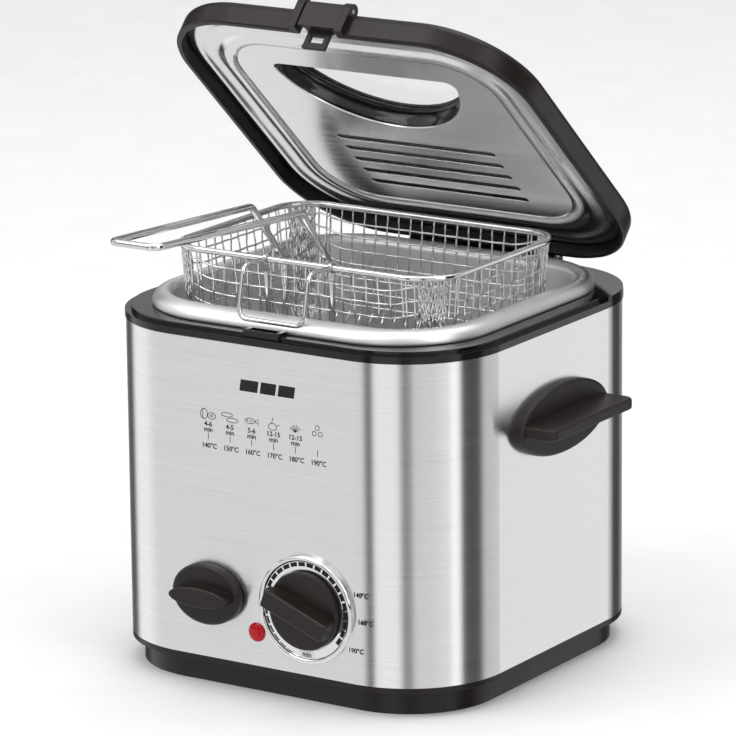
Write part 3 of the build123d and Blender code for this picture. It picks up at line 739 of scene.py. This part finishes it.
# ---------------------------------------------------------------- pilot lamp lens
lamp_x, lamp_z, lens_r, stem_r, dome_rise = -3.8, 32.4, 4.9, 3.9, 1.6
lens_edge = front_y - 0.2
lens_profile = [(0.05, front_y + 4), (stem_r, front_y + 4), (stem_r, front_y), (lens_r, front_y),
                (lens_r, lens_edge)]
for step in range(1, 11):
    angle = math.radians(9 * step)
    lens_profile.append((max(0.03, lens_r * math.cos(angle)), lens_edge - dome_rise * math.sin(angle)))
lens_rings = []
for radius, y in lens_profile:
    ring = []
    for turn in range(0, 360, 10):
        angle = math.radians(turn)
        ring.append((lamp_x + radius * math.cos(angle), y, lamp_z + radius * math.sin(angle)))
    lens_rings.append(ring)
lens = finish_piece(skin(lens_rings, cap=True), "pilot_lamp_dome", looks["red_lens"], "housing")
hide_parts("indicator_lens")

# ---------------------------------------------------------------- floor, lights, camera
floor_mesh = bpy.data.meshes.new("floor")
reach = 12.0
floor_corners = [(-reach, -reach, 0), (reach, -reach, 0), (reach, reach, 0), (-reach, reach, 0)]
floor_mesh.from_pydata(floor_corners, [], [(0, 1, 2, 3)])
floor = bpy.data.objects.new("floor", floor_mesh)
bpy.context.scene.collection.objects.link(floor)
floor_mesh.materials.append(moulded("pale floor", (grey(0.9), grey(0.92)), (0.55, 0.65), strength=0.02))
floor.visible_glossy = False


def area_light(name, place, target, size, power):
    """Soft box at a place, turned to a target; power in watts."""
    lamp = bpy.data.lights.new(name, "AREA")
    lamp.shape = "RECTANGLE"
    lamp.size, lamp.size_y = size
    lamp.energy = power
    holder = bpy.data.objects.new(name, lamp)
    holder.location = place
    holder.rotation_euler = (Vector(target) - Vector(place)).to_track_quat("-Z", "Y").to_euler()
    bpy.context.scene.collection.objects.link(holder)


middle = (0, 0, 0.12)
area_light("key", (-0.9, -1.3, 1.9), middle, (1.4, 1.4), 15)
area_light("fill", (1.9, -0.5, 1.1), middle, (0.9, 1.6), 7)
area_light("top", (0.1, 0.5, 2.2), middle, (1.8, 1.8), 16)

# Brightness of the studio walls by compass angle: 0 is where the fryer's front faces, + is towards +X.
walls = [(-180, 0.1), (-150, 0.66), (-122, 0.1), (-108, 0.1), (-98, 1.1), (-76, 1.1), (-60, 0.86),
         (-20, 0.86), (-14.5, 0.05), (-9.5, 0.05), (-6, 1.1), (20, 1.1), (26, 0.2), (33, 0.3), (38, 0.8),
         (76, 0.84), (81, 1.3), (89, 1.3), (92, 0.04), (116, 0.05), (122, 0.66), (144, 0.7), (149, 1.2),
         (154, 1.2), (158, 0.05), (172, 0.06)]
world = bpy.data.worlds.new("studio")
bpy.context.scene.world = world
world.use_nodes = True
tree = world.node_tree
place = tree.nodes.new("ShaderNodeTexCoord")
split = tree.nodes.new("ShaderNodeSeparateXYZ")
tree.links.new(place.outputs["Generated"], split.inputs["Vector"])


def calc(operation, *values):
    """Output of a math node whose inputs are numbers or other outputs."""
    node = tree.nodes.new("ShaderNodeMath")
    node.operation = operation
    for socket, value in zip(node.inputs, values):
        if isinstance(value, (int, float)):
            socket.default_value = value
        else:
            tree.links.new(value, socket)
    return node.outputs[0]


compass = calc("ARCTAN2", split.outputs["X"], calc("MULTIPLY", split.outputs["Y"], -1.0))
turned = calc("MULTIPLY_ADD", compass, 0.5 / math.pi, 0.5)
ramp = tree.nodes.new("ShaderNodeValToRGB")
tree.links.new(turned, ramp.inputs["Fac"])
stops = ramp.color_ramp.elements
while len(stops) < len(walls):
    stops.new(0.5)
for stop, (angle, value) in zip(stops, walls):
    stop.position = (angle + 180) / 360
    stop.color = (value, value, value * 1.01, 1)


def fade(first, last):
    """0 to 1 as the direction's upward part goes from one value to another."""
    node = tree.nodes.new("ShaderNodeMapRange")
    node.interpolation_type = "SMOOTHSTEP"
    node.inputs["From Min"].default_value = first
    node.inputs["From Max"].default_value = last
    tree.links.new(split.outputs["Z"], node.inputs["Value"])
    return node.outputs["Result"]


def lay_over(amount, under, colour):
    """Lay a plain colour over the studio walls by an amount."""
    node = tree.nodes.new("ShaderNodeMix")
    node.data_type = "RGBA"
    tree.links.new(amount, node.inputs["Factor"])
    tree.links.new(under, node.inputs["A"])
    node.inputs["B"].default_value = colour
    return node.outputs["Result"]


ceiling, ground = fade(0.45, 0.8), fade(-0.5, -0.68)
picture_rail = calc("COMPARE", split.outputs["Z"], 0.36, 0.05)
skirting = calc("COMPARE", split.outputs["Z"], 0.03, 0.06)
lit = lay_over(picture_rail, ramp.outputs["Color"], (0.12, 0.12, 0.13, 1))
lit = lay_over(skirting, lit, (0.05, 0.05, 0.05, 1))
lit = lay_over(ceiling, lit, (1.0, 1.0, 1.0, 1))
lit = lay_over(ground, lit, (0.85, 0.85, 0.84, 1))
tree.links.new(lit, tree.nodes["Background"].inputs["Color"])
tree.nodes["Background"].inputs["Strength"].default_value = 0.95

bpy.context.scene.view_settings.view_transform = "Standard"

camera_azimuth, camera_height, camera_distance = math.radians(33.16), math.radians(15.21), 2.583
camera_roll = math.radians(-0.593)
orbit_centre = Vector((0, 0, 0.105))
aim = Vector((-0.00882, 0.00594, 0.14213))
lens_mm = 249.53
camera_data = bpy.data.cameras.new("camera")
camera_data.lens = lens_mm
camera_data.sensor_width = 36.0
camera_data.clip_end = 60.0
camera = bpy.data.objects.new("camera", camera_data)
level = math.cos(camera_height)
stand = Vector((math.sin(camera_azimuth) * level, -math.cos(camera_azimuth) * level,
                math.sin(camera_height)))
camera.location = orbit_centre + stand * camera_distance
facing = (aim - camera.location).to_track_quat("-Z", "Y").to_matrix().to_4x4()
camera.matrix_world = Matrix.Translation(camera.location) @ facing @ Matrix.Rotation(camera_roll, 4, "Z")
bpy.context.scene.collection.objects.link(camera)
bpy.context.scene.camera = camera
